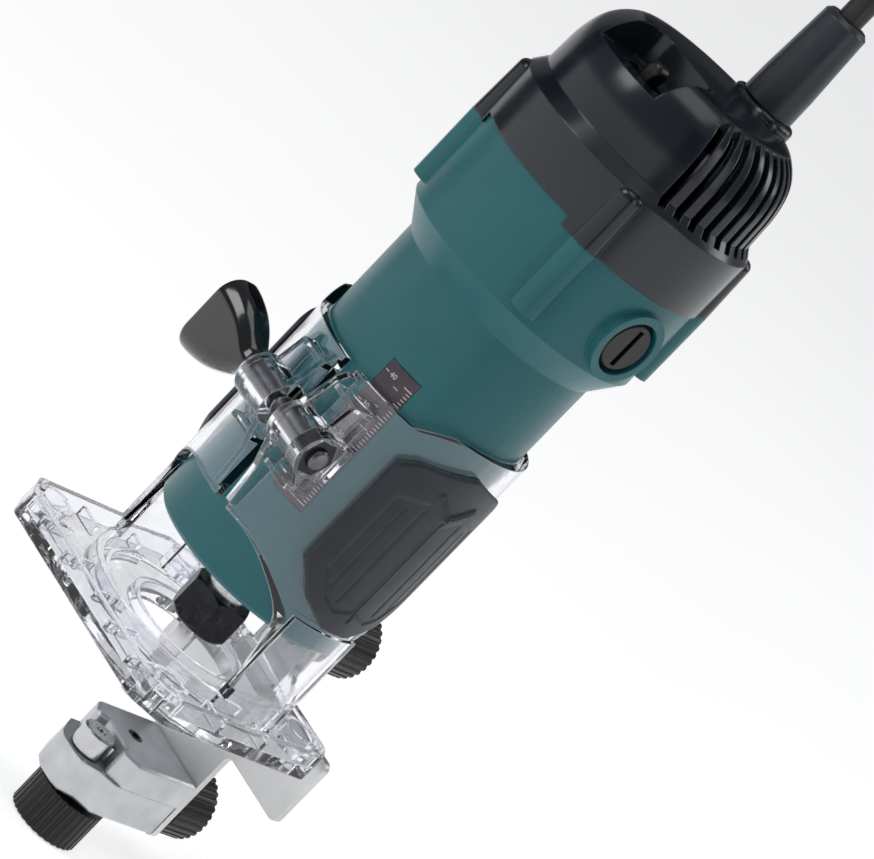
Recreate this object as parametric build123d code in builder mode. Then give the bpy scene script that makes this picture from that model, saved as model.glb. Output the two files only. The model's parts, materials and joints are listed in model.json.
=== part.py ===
from build123d import *
import math
import os

# Trim router. Millimetres, +Z up along the tool axis, front (clamp side) at -Y.
# Origin: on the cutter axis, in the plane of the base's underside.

# ---------------------------------------------------------------- driving dimensions
# motor body
R_MOTOR = 31.0        # cylinder that slides in the base
Z_NOSE = 29.7         # lower end of the motor
Z_NECK = 126.0        # top of the sliding cylinder
Z_FLARE = 134.5
R_BODY = 37.0
Z_SEAM = 159.5        # joint between housing and top cap
Z_SEAM_FRONT = 162.5  # the joint steps up between the two front screws
WALL = 2.5
COL_R = 35.7          # radius of the four screw columns' centres
COL_RAD = 4.6
Z_COL0, Z_COL1 = 137.0, 178.0
Z_BRUSH = 145.6
# top cap
R_RING = 37.75
Z_RING = 177.6
R_CAP = 34.6
Z_STEP = 181.4
Z_SHOULDER = 188.0
Z_TOP = 206.4
VENTS = 9
VENT_PITCH = 8.4      # degrees
VENT_W = 2.5
# base
BASE_X = 43.25
BASE_Y0, BASE_Y1 = -43.8, 29.6
BASE_T = 8.0
FLOOR_T = 3.2
R_OPEN = 17.0
R_SLEEVE_IN = 31.3
R_SLEEVE = 33.8
Z_SLEEVE_FRONT = 95.0
Z_SLEEVE_TOP = 100.0
Z_WINDOW = 45.5
SLIT_X0, SLIT_X1 = 2.0, 7.0
CLAMP_Y, CLAMP_Z = -38.6, 75.0
HOLE_X, HOLE_Y0, HOLE_Y1 = 34.0, -34.5, 20.5
HOLE_R = 2.25
R_PAD = 35.3
# spindle
NUT_AF = 17.0
Z_NUT0, Z_NUT1 = 8.5, 20.0
Z_TIP = -18.0
# trimmer guide
PLATE_Y0, PLATE_Y1 = 34.2, 36.2
GX = 3.0              # middle of the guide
KNOB_A_Z = 23.0
KNOB_B_X, KNOB_B_Z = 1.5, -42.0
ROLL_X, ROLL_Y = 0.3, 3.0
KNOB_C_X, KNOB_C_Y = 1.4, 10.4
JAW_TRAVEL = 8.0
R_KNOB = 10.8
# cord
CORD_R = 3.6
GUARD_Y = 22.0
Z_GUARD = 238.0
AWAY = (-0.6092, 0.7930)   # horizontal direction in which the cord falls behind the tool
SIDE = (0.7930, 0.6092)

os.makedirs("parts", exist_ok=True)


def at_angle(radius, degrees):
    a = math.radians(degrees)
    return (radius * math.cos(a), radius * math.sin(a))


def behind(d, side, z):
    """A point d behind the guard and side along SIDE from it, at height z."""
    return (AWAY[0] * d + SIDE[0] * side, GUARD_Y + AWAY[1] * d + SIDE[1] * side, z)


COLUMNS = [at_angle(COL_R, a) for a in (45, 135, 225, 315)]

# ================================================================ motor body
# teal housing: neck, flare and upper drum, as one shell with a closed nose
with BuildPart() as motor_housing:
    with BuildSketch(Plane.XZ):
        with BuildLine():
            Polyline(
                (9, Z_NOSE), (R_MOTOR - 1.2, Z_NOSE), (R_MOTOR, Z_NOSE + 1.2), (R_MOTOR, Z_NECK),
                (R_BODY, Z_FLARE), (R_BODY, Z_SEAM), (R_BODY - WALL, Z_SEAM), (R_BODY - WALL, Z_FLARE + 1),
                (28.6, Z_NECK + 1.4), (28.6, 47), (26, 43.5), (14, 43.5), (11.02, 42.5), (11.02, 35), (9, 35),
                close=True,
            )
        make_face()
    revolve(axis=Axis.Z)
    # screw columns
    with BuildSketch(Plane.XY.offset(Z_COL0)):
        with Locations(*COLUMNS):
            Circle(COL_RAD)
    extrude(amount=Z_SEAM - Z_COL0)
    # brush bosses on both sides
    for s in (1, -1):
        with BuildSketch(Plane.YZ.offset(s * 30.5)):
            with Locations((0, Z_BRUSH)):
                Circle(10.6)
        extrude(amount=s * 8.2)
    # higher front rim between the two front screws
    with BuildSketch(Plane.XY.offset(Z_SEAM)):
        Circle(R_BODY)
        Circle(R_BODY - WALL, mode=Mode.SUBTRACT)
        with Locations((0, -40)):
            Rectangle(2 * 20.5, 40, mode=Mode.INTERSECT)
    extrude(amount=Z_SEAM_FRONT - Z_SEAM)
    # inside of the drum stays round behind the bosses
    with BuildSketch(Plane.XY.offset(Z_FLARE + 1)):
        Circle(31.6)
    extrude(amount=30, mode=Mode.SUBTRACT)
    # screw holes, with the screw heads sunk in from below
    with BuildSketch(Plane.XY.offset(Z_COL0)):
        with Locations(*COLUMNS):
            Circle(2.1)
    extrude(amount=40, mode=Mode.SUBTRACT)
    with BuildSketch(Plane.XY.offset(Z_COL0)):
        with Locations(*COLUMNS):
            Circle(3.5)
    extrude(amount=3.2, mode=Mode.SUBTRACT)
    # brush cap recesses and through bores
    for s in (1, -1):
        with BuildSketch(Plane.YZ.offset(s * 35.0)):
            with Locations((0, Z_BRUSH)):
                Circle(8.3)
        extrude(amount=s * 6, mode=Mode.SUBTRACT)
        with BuildSketch(Plane.YZ.offset(s * 28)):
            with Locations((0, Z_BRUSH)):
                Circle(6.5)
        extrude(amount=s * 12, mode=Mode.SUBTRACT)
    # flat bed for the depth scale
    with BuildSketch(Plane.XY.offset(58.6)):
        with BuildLine():
            a0, a1 = math.radians(-71.2), math.radians(-52.3)
            Polyline(
                (30.45 * math.cos(a0), 30.45 * math.sin(a0)), (33 * math.cos(a0), 33 * math.sin(a0)),
                (35 * math.cos((a0 + a1) / 2), 35 * math.sin((a0 + a1) / 2)),
                (33 * math.cos(a1), 33 * math.sin(a1)), (30.45 * math.cos(a1), 30.45 * math.sin(a1)),
            )
            CenterArc((0, 0), 30.45, -71.2, 18.9)
        make_face()
    extrude(amount=45.2, mode=Mode.SUBTRACT)
motor_housing.part.label = "motor_housing"

# dark depth scale plate, 0 to 40 mm
with BuildPart() as scale_plate:
    with BuildSketch(Plane.XY.offset(58.8)):
        with BuildLine():
            b0, b1 = -71.0, -52.5
            CenterArc((0, 0), 30.95, b0, b1 - b0)
            CenterArc((0, 0), 30.47, b0, b1 - b0)
            Line(at_angle(30.47, b0), at_angle(30.95, b0))
            Line(at_angle(30.47, b1), at_angle(30.95, b1))
        make_face()
    extrude(amount=44.8)
scale_plate.part.label = "scale_plate"

# black top cap: hollow form taken out of it, less the walls of the switch pocket
with BuildPart() as cap_cavity:
    with BuildSketch(Plane.XZ):
        with BuildLine():
            cav_a = Polyline(
                (0, Z_SEAM - 1), (R_RING - WALL, Z_SEAM - 1), (R_RING - WALL, Z_RING - 1), (R_CAP - WALL, Z_STEP - 1),
                (R_CAP - WALL, Z_SHOULDER),
            )
            cav_b = Spline((R_CAP - WALL, Z_SHOULDER), (31.3, 193.8), (29.3, 199.4), (26.0, 202.2), (19.5, 203.5), tangents=((0, 1), (-1, 0.05)))
            Polyline((19.5, 203.5), (0, 203.8), (0, Z_SEAM - 1))
        make_face()
    revolve(axis=Axis.Z)
    with BuildSketch(Plane.XY.offset(194.2)):
        with Locations((0, -27)):
            Rectangle(34, 36)
    extrude(amount=20, mode=Mode.SUBTRACT)
    with BuildSketch(Plane.XY.offset(Z_SEAM - 1)):
        with Locations(*COLUMNS):
            Circle(COL_RAD)
    extrude(amount=Z_COL1 - Z_SEAM + 1, mode=Mode.SUBTRACT)

# the cap's share of the screw columns, with rounded tops
with BuildPart() as cap_columns:
    with BuildSketch(Plane.XY.offset(Z_SEAM)):
        with Locations(*COLUMNS):
            Circle(COL_RAD)
    extrude(amount=Z_COL1 - Z_SEAM, taper=2.0)
    fillet(faces().group_by(Axis.Z)[-1].edges(), 2.2)

# boss that carries the cord guard
with BuildPart() as guard_boss:
    with BuildSketch(Plane.XY.offset(199.3)):
        with Locations((0, GUARD_Y)):
            RectangleRounded(20.0, 15.0, 6.5)
    extrude(amount=Z_TOP + 1.6 - 199.3)
    fillet(faces().sort_by(Axis.Z)[-1].edges(), 1.6)

with BuildPart() as top_cap:
    with BuildSketch(Plane.XZ):
        with BuildLine():
            Polyline((0, Z_SEAM), (R_RING, Z_SEAM), (R_RING, Z_RING), (R_CAP + 0.3, Z_STEP), (R_CAP, Z_SHOULDER))
            Spline((R_CAP, Z_SHOULDER), (33.9, 194.0), (31.6, 200.2), (27.6, 204.3), (21.0, Z_TOP - 0.3), tangents=((0, 1), (-1, 0.05)))
            Polyline((21.0, Z_TOP - 0.3), (0, Z_TOP), (0, Z_SEAM))
        make_face()
    revolve(axis=Axis.Z)
    add(cap_columns.part)
    add(cap_cavity.part, mode=Mode.SUBTRACT)
    add(guard_boss.part)
    # switch pocket, open at the front shoulder
    with BuildSketch(Plane.XY.offset(197.0)):
        with Locations((0, -27)):
            RectangleRounded(26.5, 30, 5)
    extrude(amount=20, mode=Mode.SUBTRACT)
    # slot for the toggle
    with BuildSketch(Plane.XY.offset(190)):
        with Locations((0, -22)):
            Rectangle(13, 6.4)
    extrude(amount=10, mode=Mode.SUBTRACT)
    # vent slots that run over the shoulder on both sides
    for side in (0, 180):
        for i in range(VENTS):
            with BuildSketch(Plane.XY.rotated((0, 0, side + VENT_PITCH * (i - (VENTS - 1) / 2))).offset(179.2)):
                with Locations((34.0, 0)):
                    Rectangle(15, VENT_W)
            extrude(amount=26, mode=Mode.SUBTRACT)
    # the joint steps up at the front
    with BuildSketch(Plane.XY.offset(Z_SEAM)):
        Circle(45)
        with Locations((0, -40)):
            Rectangle(2 * 20.6, 40, mode=Mode.INTERSECT)
    extrude(amount=Z_SEAM_FRONT - Z_SEAM + 0.05, mode=Mode.SUBTRACT)
    # bores for the housing screws
    with BuildSketch(Plane.XY.offset(Z_SEAM)):
        with Locations(*COLUMNS):
            Circle(1.95)
    extrude(amount=13.5, mode=Mode.SUBTRACT)
    # hole for the cord
    with BuildSketch(Plane.XY.offset(195)):
        with Locations((0, GUARD_Y)):
            Circle(5.05)
    extrude(amount=20, mode=Mode.SUBTRACT)
top_cap.part.label = "top_cap"

# four housing screws, driven in from below
with BuildPart() as housing_screws:
    with BuildSketch(Plane.XY.offset(Z_COL0 + 0.6)):
        with Locations(*COLUMNS):
            Circle(3.3)
    extrude(amount=2.6)
    with BuildSketch(Plane.XY.offset(Z_COL0 + 3.2)):
        with Locations(*COLUMNS):
            Circle(1.9)
    extrude(amount=32)
    with BuildSketch(Plane.XY.offset(Z_COL0 + 0.6)):
        with Locations(*COLUMNS):
            Rectangle(3.6, 0.9)
            Rectangle(0.9, 3.6)
    extrude(amount=1.3, mode=Mode.SUBTRACT)
housing_screws.part.label = "housing_screws"

# slotted brush caps, left and right
with BuildPart() as brush_caps:
    for s in (1, -1):
        with BuildSketch(Plane.YZ.offset(s * 35.05)):
            with Locations((0, Z_BRUSH)):
                Circle(7.5)
        extrude(amount=s * 3.2)
        with BuildSketch(Plane.YZ.offset(s * 31.4)):
            with Locations((0, Z_BRUSH)):
                Circle(6.4)
        extrude(amount=s * 3.7)
    rims = edges().filter_by(GeomType.CIRCLE).sort_by(Axis.X)
    chamfer([rims[0], rims[-1]], 0.7)
    for s in (1, -1):
        with BuildSketch(Plane.YZ.offset(s * 36.9)):
            with Locations((0, Z_BRUSH)):
                Rectangle(1.9, 11.5)
        extrude(amount=s * 2, mode=Mode.SUBTRACT)
brush_caps.part.label = "brush_caps"

# brass brush holders with a square bore
with BuildPart() as brush_holders:
    for s in (1, -1):
        with BuildSketch(Plane.YZ.offset(s * 12.0)):
            with Locations((0, Z_BRUSH)):
                RectangleRounded(8.6, 10.6, 1.0)
                Rectangle(6.3, 8.3, mode=Mode.SUBTRACT)
        extrude(amount=s * 19.2)
brush_holders.part.label = "brush_holders"

with BuildPart() as carbon_brushes:
    for s in (1, -1):
        with BuildSketch(Plane.YZ.offset(s * 9.7)):
            with Locations((0, Z_BRUSH)):
                Rectangle(6.1, 8.1)
        extrude(amount=s * 11)
carbon_brushes.part.label = "carbon_brushes"

# brush springs, drawn as thin tubes of the coil's outer size
with BuildPart() as brush_springs:
    for s in (1, -1):
        with BuildSketch(Plane.YZ.offset(s * 20.8)):
            with Locations((0, Z_BRUSH)):
                Circle(2.6)
                Circle(1.9, mode=Mode.SUBTRACT)
        extrude(amount=s * 10.4)
brush_springs.part.label = "brush_springs"

# stator: laminated ring with two poles
with BuildPart() as field_stator:
    with BuildSketch(Plane.XY.offset(66)):
        Circle(28.4)
        Circle(23.5, mode=Mode.SUBTRACT)
        with Locations((0, 21), (0, -21)):
            Rectangle(24, 9)
        Circle(17.9, mode=Mode.SUBTRACT)
    extrude(amount=40)
field_stator.part.label = "field_stator"

with BuildPart() as field_coils:
    for s in (1, -1):
        for z in (59.0, 106.2):
            with BuildSketch(Plane.XY.offset(z)):
                Circle(26.0)
                Circle(19.2, mode=Mode.SUBTRACT)
                with Locations((0, s * 26)):
                    Rectangle(36, 26, mode=Mode.INTERSECT)
            extrude(amount=6.8)
field_coils.part.label = "field_coils"

# bridge that holds the upper bearing
with BuildPart() as end_bracket:
    with BuildSketch(Plane.XY.offset(163.0)):
        Circle(12.6)
        Rectangle(62, 9)
        Rectangle(9, 62)
        Circle(31.4, mode=Mode.INTERSECT)
    extrude(amount=4)
    with BuildSketch(Plane.XY.offset(167.0)):
        Circle(12.6)
    extrude(amount=8)
    with BuildSketch(Plane.XY.offset(167.0)):
        Circle(9.52)
    extrude(amount=9, mode=Mode.SUBTRACT)
    with BuildSketch(Plane.XY.offset(162.0)):
        Circle(5.5)
    extrude(amount=6, mode=Mode.SUBTRACT)
end_bracket.part.label = "end_bracket"

with BuildPart() as upper_bearing:
    with BuildSketch(Plane.XY.offset(167.2)):
        Circle(9.5)
        Circle(3.55, mode=Mode.SUBTRACT)
    extrude(amount=6)
    fillet(edges().filter_by(GeomType.CIRCLE), 0.35)
upper_bearing.part.label = "upper_bearing"

with BuildPart() as lower_bearing:
    with BuildSketch(Plane.XY.offset(35.2)):
        Circle(11.0)
        Circle(4.05, mode=Mode.SUBTRACT)
    extrude(amount=7)
    fillet(edges().filter_by(GeomType.CIRCLE), 0.35)
lower_bearing.part.label = "lower_bearing"

# switch block below the pocket, with a gap for the toggle's root
with BuildPart() as switch_body:
    with BuildSketch(Plane.XY.offset(177.5)):
        with Locations((0, -22)):
            RectangleRounded(19, 12, 1.2)
    extrude(amount=14)
    with BuildSketch(Plane.XY.offset(186.0)):
        with Locations((0, -22)):
            Rectangle(12.4, 7.2)
    extrude(amount=8, mode=Mode.SUBTRACT)
    with BuildSketch(Plane.XY.offset(171.5)):
        with Locations((-5, -22), (5, -22)):
            Rectangle(0.8, 4.8)
    extrude(amount=6)
    # bearing holes of the toggle's pin
    with BuildSketch(Plane.XZ.offset(17.1)):
        with Locations((0, 190.5)):
            Circle(0.86)
    extrude(amount=9.8, mode=Mode.SUBTRACT)
switch_body.part.label = "switch_body"

# toggle, leaning to +X in the off position
with BuildPart() as switch_toggle:
    with BuildSketch(Plane.XZ.offset(19.6)):
        with BuildLine():
            Polyline((-1.9, 188.5), (1.9, 188.5), (2.3, 197.5), (2.5, 200.4))
            RadiusArc((2.5, 200.4), (-2.5, 200.4), -2.5)
            Polyline((-2.5, 200.4), (-2.3, 197.5), (-1.9, 188.5))
        make_face()
    extrude(amount=4.8)
    fillet(edges().filter_by(Axis.Y, reverse=True).group_by(Axis.Z)[-1], 1.2)
    # pivot pin
    with BuildSketch(Plane.XZ.offset(17.3)):
        with Locations((0, 190.5)):
            Circle(0.8)
    extrude(amount=9.4)
toggle_solid = switch_toggle.part.rotate(Axis((0, -22, 190.5), (0, 1, 0)), 10)
toggle_solid.label = "switch_toggle"

# moulded strain relief, held by a flange under the cap's top
with BuildPart() as cord_guard:
    with BuildSketch(Plane.XZ.offset(-GUARD_Y)):
        with BuildLine():
            Polyline((3.65, 196.5), (6.5, 196.5), (6.5, 199.2), (5.0, 199.2), (5.0, Z_TOP + 1.7), (7.9, Z_TOP + 1.7), (7.75, 216.0),
                     (6.75, Z_GUARD - 1.2), (5.6, Z_GUARD), (3.65, Z_GUARD), close=True)
        make_face()
    revolve(axis=Axis((0, GUARD_Y, 0), (0, 0, 1)))
cord_guard.part.label = "cord_guard"

# clamp for the cord inside the cap
with BuildPart() as cord_clamp:
    with BuildSketch(Plane.XY.offset(184)):
        with Locations((0, GUARD_Y)):
            RectangleRounded(24, 10, 2)
            Circle(3.62, mode=Mode.SUBTRACT)
    extrude(amount=5)
cord_clamp.part.label = "cord_clamp"

# ================================================================ spindle and armature
with BuildPart() as armature_shaft:
    with BuildSketch(Plane.XZ):
        with BuildLine():
            Polyline(
                (5.25, 13.0), (6.0, 13.0), (6.0, 26.5), (7.6, 26.5), (7.6, 28.8), (5.6, 28.8), (5.6, 35.0), (4.0, 35.0),
                (4.0, 44), (4.6, 44), (4.6, 160), (3.5, 160), (3.5, 174.5), (0, 174.5), (0, 30), (3.1, 30), (3.5, 26),
                close=True,
            )
        make_face()
    revolve(axis=Axis.Z)
armature_shaft.part.label = "armature_shaft"

with BuildPart() as armature_core:
    with BuildSketch(Plane.XY.offset(67)):
        Circle(17.1)
        with PolarLocations(15.4, 12):
            Rectangle(3.8, 1.6, mode=Mode.SUBTRACT)
        Circle(4.62, mode=Mode.SUBTRACT)
    extrude(amount=38)
armature_core.part.label = "armature_core"

with BuildPart() as armature_windings:
    for z, h in ((60.0, 6.9), (105.1, 12.0)):
        with BuildSketch(Plane.XY.offset(z)):
            Circle(14.6)
            Circle(4.62, mode=Mode.SUBTRACT)
        extrude(amount=h)
    fillet(edges().filter_by(GeomType.CIRCLE).group_by(Axis.Z)[-1].sort_by(SortBy.RADIUS)[-1], 4.0)
armature_windings.part.label = "armature_windings"

with BuildPart() as commutator:
    with BuildSketch(Plane.XY.offset(136)):
        Circle(9.5)
        with PolarLocations(9.3, 24):
            Rectangle(0.9, 0.45, mode=Mode.SUBTRACT)
        Circle(4.62, mode=Mode.SUBTRACT)
    extrude(amount=19)
commutator.part.label = "commutator"

with BuildPart() as cooling_fan:
    with BuildSketch(Plane.XY.offset(49)):
        Circle(25.5)
        Circle(4.62, mode=Mode.SUBTRACT)
    extrude(amount=1.8)
    with BuildSketch(Plane.XY.offset(50.8)):
        Circle(8)
        Circle(4.62, mode=Mode.SUBTRACT)
        with PolarLocations(17, 14):
            Rectangle(16, 1.3)
    extrude(amount=6.5)
cooling_fan.part.label = "cooling_fan"

# split collet cone that grips the cutter's shank
with BuildPart() as collet_cone:
    with BuildSketch(Plane.XZ):
        with BuildLine():
            Polyline((3.02, 9.6), (4.3, 9.6), (5.18, 13.2), (3.55, 25.0), (3.02, 25.0), close=True)
        make_face()
    revolve(axis=Axis.Z)
    with BuildSketch(Plane.XY.offset(12)):
        for a in (15, 75, 135):
            with Locations(Location((0, 0, 0), (0, 0, a))):
                Rectangle(14, 0.8)
        Circle(2.0, mode=Mode.SUBTRACT)
    extrude(amount=14, mode=Mode.SUBTRACT)
collet_cone.part.label = "collet_cone"

with BuildPart() as collet_nut:
    with BuildSketch(Plane.XY.offset(Z_NUT0)):
        RegularPolygon(NUT_AF / 2, 6, major_radius=False, rotation=-45)
    extrude(amount=Z_NUT1 - Z_NUT0)
    # corners turned down at both ends
    with BuildSketch(Plane.XZ):
        with BuildLine():
            Polyline((0, Z_NUT0 - 1), (8.2, Z_NUT0 - 1), (8.2, Z_NUT0), (9.95, Z_NUT0 + 2.0), (9.95, Z_NUT1 - 1.2),
                     (8.6, Z_NUT1), (8.6, Z_NUT1 + 1), (0, Z_NUT1 + 1), close=True)
        make_face()
    revolve(axis=Axis.Z, mode=Mode.INTERSECT)
    with BuildSketch(Plane.XZ):
        with BuildLine():
            Polyline((0, Z_NUT0 - 1), (3.6, Z_NUT0 - 1), (3.6, Z_NUT0 + 1.1), (4.36, Z_NUT0 + 1.1), (5.3, 12.95), (6.05, 12.95),
                     (6.05, Z_NUT1 + 1), (0, Z_NUT1 + 1), close=True)
        make_face()
    revolve(axis=Axis.Z, mode=Mode.SUBTRACT)
collet_nut.part.label = "collet_nut"

# straight two-flute cutter on a 6 mm shank
with BuildPart() as router_bit:
    with BuildSketch(Plane.XY.offset(Z_TIP)):
        Circle(3.0)
    extrude(amount=27.5 - Z_TIP)
    for s in (1, -1):
        with BuildSketch(Plane.XY.offset(Z_TIP)):
            with Locations((s * 2.3, s * 1.7)):
                Rectangle(4.2, 2.4)
        extrude(amount=18, mode=Mode.SUBTRACT)
router_bit.part.label = "router_bit"

# ================================================================ base
with BuildPart() as clear_base:
    # foot plate: floor, rim, ring round the opening, ribs and corner bosses
    with BuildSketch(Plane.XY):
        with BuildLine():
            Polyline(
                (-BASE_X + 9, BASE_Y0), (BASE_X - 8, BASE_Y0), (BASE_X, BASE_Y0 + 8), (BASE_X, BASE_Y1 - 6),
                (BASE_X - 6, BASE_Y1), (-BASE_X + 10, BASE_Y1), (-BASE_X, BASE_Y1 - 10), (-BASE_X, BASE_Y0 + 9),
                close=True,
            )
        make_face()
        fillet(vertices(), 4.0)
        Circle(R_OPEN, mode=Mode.SUBTRACT)
    extrude(amount=FLOOR_T)
    with BuildSketch(Plane.XY.offset(FLOOR_T)) as rim_sketch:
        with BuildLine():
            Polyline(
                (-BASE_X + 9, BASE_Y0), (BASE_X - 8, BASE_Y0), (BASE_X, BASE_Y0 + 8), (BASE_X, BASE_Y1 - 6),
                (BASE_X - 6, BASE_Y1), (-BASE_X + 10, BASE_Y1), (-BASE_X, BASE_Y1 - 10), (-BASE_X, BASE_Y0 + 9),
                close=True,
            )
        make_face()
        fillet(vertices(), 4.0)
        offset(amount=-2.2, kind=Kind.INTERSECTION, mode=Mode.SUBTRACT)
    extrude(amount=BASE_T - FLOOR_T)
    with BuildSketch(Plane.XY.offset(FLOOR_T)):
        Circle(R_OPEN + 2.0)
        Circle(R_OPEN, mode=Mode.SUBTRACT)
    extrude(amount=2.6)
    # arc ribs and spokes
    with BuildSketch(Plane.XY.offset(FLOOR_T)):
        Circle(29.4)
        Circle(27.8, mode=Mode.SUBTRACT)
        with Locations((0, -22)):
            Rectangle(60, 44, mode=Mode.INTERSECT)
    extrude(amount=3.2)
    with BuildSketch(Plane.XY.offset(FLOOR_T)):
        with Locations((0, -31), (-13, -35), (13, -35), (-26, -37.5), (26, -37.5)):
            Rectangle(1.5, 12.2)
        with Locations((37.5, -16), (37.5, 2), (-37.5, -16), (-37.5, 2)):
            Rectangle(9, 1.5)
        with Locations((22, -37), (-22, -37)):
            Rectangle(22, 1.4)
    extrude(amount=3.0)
    with BuildSketch(Plane.XY.offset(FLOOR_T)):
        with Locations((HOLE_X, HOLE_Y0), (-HOLE_X, HOLE_Y0), (HOLE_X, HOLE_Y1), (-HOLE_X, HOLE_Y1)):
            Circle(5.8)
    extrude(amount=BASE_T - FLOOR_T + 0.6)
    # sleeve that the motor slides in, with two broad legs
    with BuildSketch(Plane.XY.offset(FLOOR_T)):
        Circle(R_SLEEVE)
        Circle(R_SLEEVE_IN, mode=Mode.SUBTRACT)
    extrude(amount=Z_SLEEVE_TOP - FLOOR_T)
    # thicker legs at the sides
    with BuildSketch(Plane.XY.offset(FLOOR_T)):
        Circle(R_SLEEVE + 1.3)
        Circle(R_SLEEVE_IN, mode=Mode.SUBTRACT)
        Rectangle(100, 26, mode=Mode.INTERSECT)
    extrude(amount=34)
    # lower front edge of the sleeve comes down to the legs in an arch
    with BuildSketch(Plane.XZ.offset(11.0)):
        with BuildLine():
            Polyline((-36, BASE_T), (36, BASE_T), (36, 12), (31.5, 12), (30.0, 30))
            Spline((30.0, 30), (25.5, 39.5), (13, Z_WINDOW), tangents=((-0.05, 1), (-1, 0.12)))
            Polyline((13, Z_WINDOW), (-13, Z_WINDOW))
            Spline((-13, Z_WINDOW), (-25.5, 39.5), (-30.0, 30), tangents=((-1, -0.12), (-0.05, -1)))
            Polyline((-30.0, 30), (-31.5, 12), (-36, 12), (-36, BASE_T))
        make_face()
    extrude(amount=40, mode=Mode.SUBTRACT)
    # rear windows beside the guide's pillar
    for x0 in (-21.5, 23.5):
        with BuildSketch(Plane.XZ.offset(-12.0)):
            with Locations((x0, 26)):
                RectangleRounded(17, 27, 5)
        extrude(amount=-40, mode=Mode.SUBTRACT)
    # upper front edge is lower
    with BuildSketch(Plane.XZ.offset(0)):
        with BuildLine():
            Polyline((-26, Z_SLEEVE_FRONT), (24.5, Z_SLEEVE_FRONT), (30.5, Z_SLEEVE_TOP), (30.5, 110), (-30.5, 110), (-30.5, Z_SLEEVE_TOP), (-26, Z_SLEEVE_FRONT))
        make_face()
    extrude(amount=45, mode=Mode.SUBTRACT)
    # pillar at the back for the guide
    with BuildSketch(Plane.XY):
        with Locations((GX, (PLATE_Y0 - 0.2 + 24.0) / 2)):
            Rectangle(22, PLATE_Y0 - 0.2 - 24.0)
    extrude(amount=BASE_T)
    with BuildSketch(Plane.XY.offset(BASE_T)):
        with Locations((GX, PLATE_Y0 - 0.2 - 3.0)):
            Rectangle(22, 6.0)
    extrude(amount=36.0)
    # clamp ears at the front
    for x0, x1 in ((-11.0, SLIT_X0), (SLIT_X1, 22.0)):
        with BuildSketch(Plane.YZ.offset(x0)):
            with Locations((CLAMP_Y, CLAMP_Z)):
                Circle(6.7)
            with Locations((CLAMP_Y + 4.6, CLAMP_Z)):
                Rectangle(9.2, 10.6)
        extrude(amount=x1 - x0)
    # web plates beside the slit and box ribs above and below the ears
    for x0, x1 in ((SLIT_X0 - 2.0, SLIT_X0), (SLIT_X1, SLIT_X1 + 2.0)):
        with BuildSketch(Plane.YZ.offset(x0)):
            with BuildLine():
                Polyline((-30.5, 48), (-35.6, 48), (-37.4, 60), (-41.5, 69.5), (-41.5, 81), (-37.6, 91), (-35.4, 93.6), (-30.5, 93.6), close=True)
            make_face()
        extrude(amount=x1 - x0)
    for x0, x1 in ((-9.5, -8.0), (17.5, 19.0)):
        with BuildSketch(Plane.YZ.offset(x0)):
            with BuildLine():
                Polyline((-26, 64), (-33.5, 64), (-39, 70), (-40, 80), (-37.4, 90), (-26, 90), close=True)
            make_face()
        extrude(amount=x1 - x0)
    for x0, x1, z in ((-9.5, SLIT_X0, 89.0), (SLIT_X1, 19.0, 89.0), (-9.5, SLIT_X0, 62.5), (SLIT_X1, 19.0, 62.5)):
        with BuildSketch(Plane.XY.offset(z)):
            with Locations(((x0 + x1) / 2, -31.5)):
                Rectangle(x1 - x0, 11.6)
        extrude(amount=1.5)
    # lug below the left grip
    with BuildSketch(Plane.XZ.rotated((0, 0, -43.5)).offset(-2.4)):
        with BuildLine():
            Polyline((-32.2, 44.0), (-36.4, 46.4), (-37.9, 49.0), (-37.2, 52.0), (-34.6, 53.4), (-32.2, 52.0), close=True)
        make_face()
    extrude(amount=4.8)
    # the motor's bore and the slit are cut last
    with BuildSketch(Plane.XY.offset(BASE_T)):
        Circle(R_SLEEVE_IN)
    extrude(amount=110, mode=Mode.SUBTRACT)
    with BuildSketch(Plane.XZ.offset(20)):
        with Locations(((SLIT_X0 + SLIT_X1) / 2, 80)):
            Rectangle(SLIT_X1 - SLIT_X0, 90)
    extrude(amount=40, mode=Mode.SUBTRACT)
    # bore for the clamp bolt and pocket for its nut
    with BuildSketch(Plane.YZ.offset(-20)):
        with Locations((CLAMP_Y, CLAMP_Z)):
            Circle(3.05)
    extrude(amount=50, mode=Mode.SUBTRACT)
    with BuildSketch(Plane.YZ.offset(17.0)):
        with Locations((CLAMP_Y, CLAMP_Z)):
            RegularPolygon(5.05, 6, major_radius=False)
    extrude(amount=10, mode=Mode.SUBTRACT)
    # seat of the threaded nut for the guide
    with BuildSketch(Plane.XZ.offset(-28)):
        with Locations((GX, KNOB_A_Z)):
            Circle(4.5)
    extrude(amount=-10, mode=Mode.SUBTRACT)
    # screw holes of the foot plate, sunk for screw heads from above
    with BuildSketch(Plane.XY.offset(-1)):
        with Locations((HOLE_X, HOLE_Y0), (-HOLE_X, HOLE_Y0), (HOLE_X, HOLE_Y1), (-HOLE_X, HOLE_Y1)):
            Circle(HOLE_R)
    extrude(amount=12, mode=Mode.SUBTRACT)
    with BuildSketch(Plane.XY.offset(5.0)):
        with Locations((HOLE_X, HOLE_Y0), (-HOLE_X, HOLE_Y0), (HOLE_X, HOLE_Y1), (-HOLE_X, HOLE_Y1)):
            Circle(4.1)
    extrude(amount=6, mode=Mode.SUBTRACT)
clear_base.part.label = "clear_base"

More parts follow.
